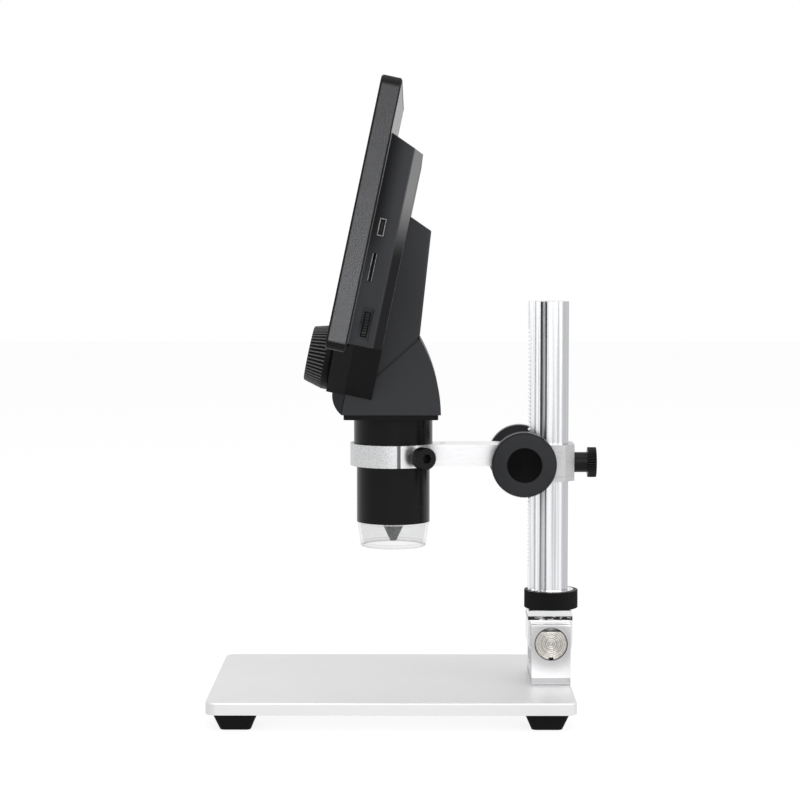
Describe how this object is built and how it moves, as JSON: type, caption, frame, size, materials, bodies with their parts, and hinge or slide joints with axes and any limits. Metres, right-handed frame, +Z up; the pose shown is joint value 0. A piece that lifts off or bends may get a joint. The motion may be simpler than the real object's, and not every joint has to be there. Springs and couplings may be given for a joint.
{
  "type": "lcd digital microscope",
  "caption": "Digital microscope with a tilted display head over a ring-lit lens barrel, clamped to a tilting rack column on a flat base plate.",
  "frame": {"origin": "on the table under the middle of the whole object's bounding box", "axes": "+Z up, -Y towards the user and the screen's face, +X across the screen to the side of the ports"},
  "size_m": [0.186, 0.1776, 0.2867],
  "materials": {
    "plate_aluminium": "fine satin anodised",
    "machined_aluminium": "machined, light satin",
    "column_aluminium": "bright extruded",
    "chrome_steel": "turned and plated",
    "black_anodised": "black anodised, satin",
    "black_knurled": "black, fine knurl",
    "housing_plastic": "fine-textured black moulding",
    "wheel_plastic": "ribbed black moulding",
    "button_plastic": "satin black",
    "frosted_plastic": "frosted translucent",
    "foot_rubber": "matt moulded",
    "steel": "bright fastener",
    "brass": "machined",
    "board_green": "solder mask",
    "cell_foil": "foil pouch",
    "lamp_white": "white package",
    "screen_glass": "gloss cover",
    "panel_dark": "dark panel",
    "lens_glass": "coated",
    "sensor_chip": "chip package"
  },
  "bodies": {
    "stand": {"base_plate": "plate_aluminium", "foot_front_left": "foot_rubber", "foot_front_right": "foot_rubber", "foot_rear_left": "foot_rubber", "foot_rear_right": "foot_rubber", "foot_screws": "steel", "hinge_bracket": "machined_aluminium", "bracket_screws": "steel", "pivot_bolt": "chrome_steel", "pivot_nut": "chrome_steel"},
    "column_body": {"column_foot": "machined_aluminium", "column": "column_aluminium", "column_screw": "steel"},
    "collar": {"locking_collar": "black_knurled"},
    "slider": {"slider_block": "machined_aluminium", "shaft_bushes": "brass", "clamp_arm": "machined_aluminium", "arm_screw": "steel", "arm_set_screw": "steel"},
    "focus_shaft": {"pinion_shaft": "steel", "rack_pinion": "brass", "focus_knob_right": "black_knurled", "focus_knob_left": "black_knurled"},
    "column_lock": {"column_lock_screw": "black_knurled"},
    "ring_lock": {"ring_lock_screw": "black_knurled"},
    "head": {"barrel": "black_anodised", "light_cap": "frosted_plastic", "led_board": "board_green", "leds": "lamp_white", "neck_flange": "housing_plastic", "neck_screws": "steel", "sensor_board": "board_green", "image_sensor": "sensor_chip", "front_housing": "housing_plastic", "rear_housing": "housing_plastic", "screen_glass": "screen_glass", "lcd_panel": "panel_dark", "cover_screws": "steel", "main_board": "board_green", "board_screws": "steel", "battery": "cell_foil", "usb_socket": "steel", "card_socket": "steel", "brightness_pot": "button_plastic", "button_boards": "board_green"},
    "lens_carriage": {"carriage_tube": "black_anodised", "objective_cone": "black_anodised", "objective_lens": "lens_glass", "focus_rack": "steel"},
    "wheel": {"focus_wheel": "wheel_plastic", "wheel_shaft": "steel", "wheel_pinion": "brass"},
    "dimmer": {"brightness_wheel": "wheel_plastic"},
    "menu_key": {"button_menu": "button_plastic"},
    "up_key": {"button_up": "button_plastic"},
    "down_key": {"button_down": "button_plastic"},
    "ok_key": {"button_ok": "button_plastic"},
    "photo_key": {"button_photo": "button_plastic"},
    "power_key": {"button_power": "button_plastic"}
  },
  "joints": [
    {"name": "column_tilt", "type": "hinge", "parent": "stand", "child": "column_body", "pos_m": [0, 0.0673, 0.0321], "axis": [1, 0, 0], "range_deg": [-30, 12]},
    {"name": "collar_turn", "type": "hinge", "parent": "column_body", "child": "collar", "pos_m": [0, 0.0682, 0.05], "axis": [0, 0, 1], "range_deg": [-30, 180]},
    {"name": "height_slide", "type": "slide", "parent": "column_body", "child": "slider", "axis": [0, 0, 1], "range_m": [-0.04, 0.055]},
    {"name": "focus_knobs_turn", "type": "hinge", "parent": "slider", "child": "focus_shaft", "pos_m": [0, 0.05423, 0.1157], "axis": [1, 0, 0], "range_deg": [-877, 638]},
    {"name": "column_lock_turn", "type": "hinge", "parent": "slider", "child": "column_lock", "pos_m": [0, 0.082, 0.1147], "axis": [0, 1, 0], "range_deg": [-20, 360]},
    {"name": "ring_lock_turn", "type": "hinge", "parent": "slider", "child": "ring_lock", "pos_m": [0.02165, 0.0069, 0.1187], "axis": [0.866, 0.5, 0], "range_deg": [-20, 360]},
    {"name": "head_swivel", "type": "hinge", "parent": "slider", "child": "head", "pos_m": [0, -0.0056, 0.1187], "axis": [0, 0, 1], "range_deg": [-60, 60]},
    {"name": "lens_slide", "type": "slide", "parent": "head", "child": "lens_carriage", "axis": [0, 0, 1], "range_m": [-0.0015, 0.0075]},
    {"name": "focus_wheel_turn", "type": "hinge", "parent": "head", "child": "wheel", "pos_m": [0, -0.03959, 0.16458], "axis": [0, 0.9781, -0.2079], "range_deg": [-142, 30]},
    {"name": "brightness_turn", "type": "hinge", "parent": "head", "child": "dimmer", "pos_m": [0.0726, -0.01677, 0.18154], "axis": [0, 0.9781, -0.2079], "range_deg": [-135, 135]},
    {"name": "menu_press", "type": "slide", "parent": "head", "child": "menu_key", "axis": [0, 0.9781, -0.2079], "range_m": [0, 0.0006], "stiffness_N_per_m": 800},
    {"name": "up_press", "type": "slide", "parent": "head", "child": "up_key", "axis": [0, 0.9781, -0.2079], "range_m": [0, 0.0006], "stiffness_N_per_m": 800},
    {"name": "down_press", "type": "slide", "parent": "head", "child": "down_key", "axis": [0, 0.9781, -0.2079], "range_m": [0, 0.0006], "stiffness_N_per_m": 800},
    {"name": "ok_press", "type": "slide", "parent": "head", "child": "ok_key", "axis": [0, 0.9781, -0.2079], "range_m": [0, 0.0006], "stiffness_N_per_m": 800},
    {"name": "photo_press", "type": "slide", "parent": "head", "child": "photo_key", "axis": [0, 0.9781, -0.2079], "range_m": [0, 0.0006], "stiffness_N_per_m": 800},
    {"name": "power_press", "type": "slide", "parent": "head", "child": "power_key", "axis": [0, 0.9781, -0.2079], "range_m": [0, 0.0006], "stiffness_N_per_m": 800}
  ],
  "couplings": [
    {"joint": "focus_knobs_turn", "follows": "height_slide", "rad_per_m": -277.78},
    {"joint": "focus_wheel_turn", "follows": "lens_slide", "rad_per_m": -326.05}
  ]
}
